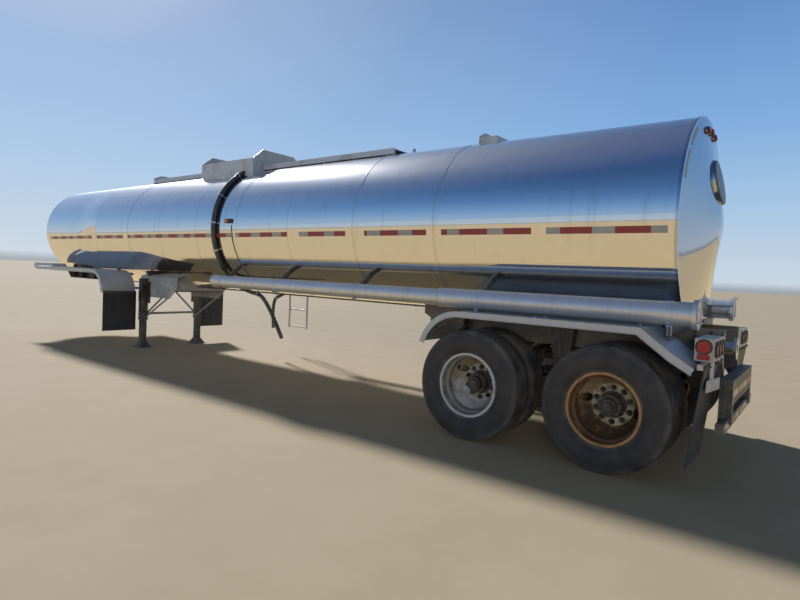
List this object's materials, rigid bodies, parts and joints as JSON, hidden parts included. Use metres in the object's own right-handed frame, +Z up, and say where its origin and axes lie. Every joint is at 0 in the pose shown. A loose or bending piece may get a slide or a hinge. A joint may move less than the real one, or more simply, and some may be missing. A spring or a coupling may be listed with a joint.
{
  "type": "tanker trailer",
  "caption": "Long round-bodied tank semi-trailer with a polished jacket, tandem dual wheels, side hose tubes, top manway and landing legs.",
  "frame": {"origin": "on the ground, midway along the overall length, on the trailer's centreline", "axes": "+X forward towards the coupler, +Y to the trailer's left, +Z up"},
  "size_m": [12.925, 2.4376, 3.288],
  "materials": {
    "polished_steel": "mirror-polished stainless jacket with seams, dents and road film",
    "satin_aluminium": "satin bluish aluminium, weathered",
    "grey_paint": "light grey paint, worn and stained",
    "black_paint": "black chassis paint with dust and rust",
    "bare_steel": "bare steel, oiled and dusty",
    "wheel_paint": "off-white wheel paint with rust runs",
    "cast_drum": "rusty cast iron",
    "tyre_rubber": "dusty tyre rubber",
    "black_rubber": "black rubber, grey with dust",
    "red_lens": "red lamp lenses",
    "amber_lens": "amber lamp lenses",
    "black_plastic": "black lamp housings",
    "plate_metal": "blank plate"
  },
  "bodies": {
    "trailer": {"tank_jacket": "polished_steel", "front_head": "polished_steel", "rear_head": "polished_steel", "port_cover": "polished_steel", "spill_box": "grey_paint", "manway_neck": "bare_steel", "manway_gasket": "black_rubber", "top_valves": "bare_steel", "walkways": "grey_paint", "vent_box": "grey_paint", "side_ladder": "satin_aluminium", "hose_tube_left": "satin_aluminium", "hose_tube_right": "satin_aluminium", "tube_brackets": "satin_aluminium", "tandem_fenders": "satin_aluminium", "fender_arms": "satin_aluminium", "front_decks": "satin_aluminium", "upper_coupler": "black_paint", "mud_flaps": "black_rubber", "landing_legs": "black_paint", "landing_frame": "black_paint", "crank_handle": "bare_steel", "subframe": "black_paint", "suspension": "black_paint", "axle_front": "black_paint", "axle_rear": "black_paint", "air_tank": "black_paint", "outlet": "bare_steel", "light_boxes": "satin_aluminium", "red_lamps": "red_lens", "lamp_housings": "black_plastic", "amber_lamps": "amber_lens", "rear_guard": "black_paint", "blank_plate": "plate_metal", "drain_lines": "black_rubber", "drain_hose_left": "black_rubber", "drain_hose_right": "black_rubber", "hose_hangers": "satin_aluminium"},
    "wheels_front_left": {"tyres_front_left": "tyre_rubber", "rims_front_left": "wheel_paint", "hub_front_left": "cast_drum"},
    "wheels_front_right": {"tyres_front_right": "tyre_rubber", "rims_front_right": "wheel_paint", "hub_front_right": "cast_drum"},
    "wheels_rear_left": {"tyres_rear_left": "tyre_rubber", "rims_rear_left": "wheel_paint", "hub_rear_left": "cast_drum"},
    "wheels_rear_right": {"tyres_rear_right": "tyre_rubber", "rims_rear_right": "wheel_paint", "hub_rear_right": "cast_drum"},
    "manway_lid": {"manway_lid": "bare_steel"},
    "tube_door_left": {"tube_door_left": "satin_aluminium"},
    "tube_door_right": {"tube_door_right": "satin_aluminium"}
  },
  "joints": [
    {"name": "wheels_front_left_turn", "type": "hinge", "parent": "trailer", "child": "wheels_front_left", "pos_m": [-4.4025, 0.908, 0.516], "axis": [0, 1, 0], "continuous": true},
    {"name": "wheels_front_right_turn", "type": "hinge", "parent": "trailer", "child": "wheels_front_right", "pos_m": [-4.4025, -0.908, 0.516], "axis": [0, 1, 0], "continuous": true},
    {"name": "wheels_rear_left_turn", "type": "hinge", "parent": "trailer", "child": "wheels_rear_left", "pos_m": [-5.6475, 0.908, 0.516], "axis": [0, 1, 0], "continuous": true},
    {"name": "wheels_rear_right_turn", "type": "hinge", "parent": "trailer", "child": "wheels_rear_right", "pos_m": [-5.6475, -0.908, 0.516], "axis": [0, 1, 0], "continuous": true},
    {"name": "manway_lid_hinge", "type": "hinge", "parent": "trailer", "child": "manway_lid", "pos_m": [0.3425, 0, 3.1555], "axis": [0, -1, 0], "range_deg": [0, 110]},
    {"name": "tube_door_left_hinge", "type": "hinge", "parent": "trailer", "child": "tube_door_left", "pos_m": [-6.2255, 0.798, 1.305], "axis": [0, 0, 1], "range_deg": [0, 150]},
    {"name": "tube_door_right_hinge", "type": "hinge", "parent": "trailer", "child": "tube_door_right", "pos_m": [-6.2255, -0.798, 1.305], "axis": [0, 0, -1], "range_deg": [0, 150]}
  ]
}
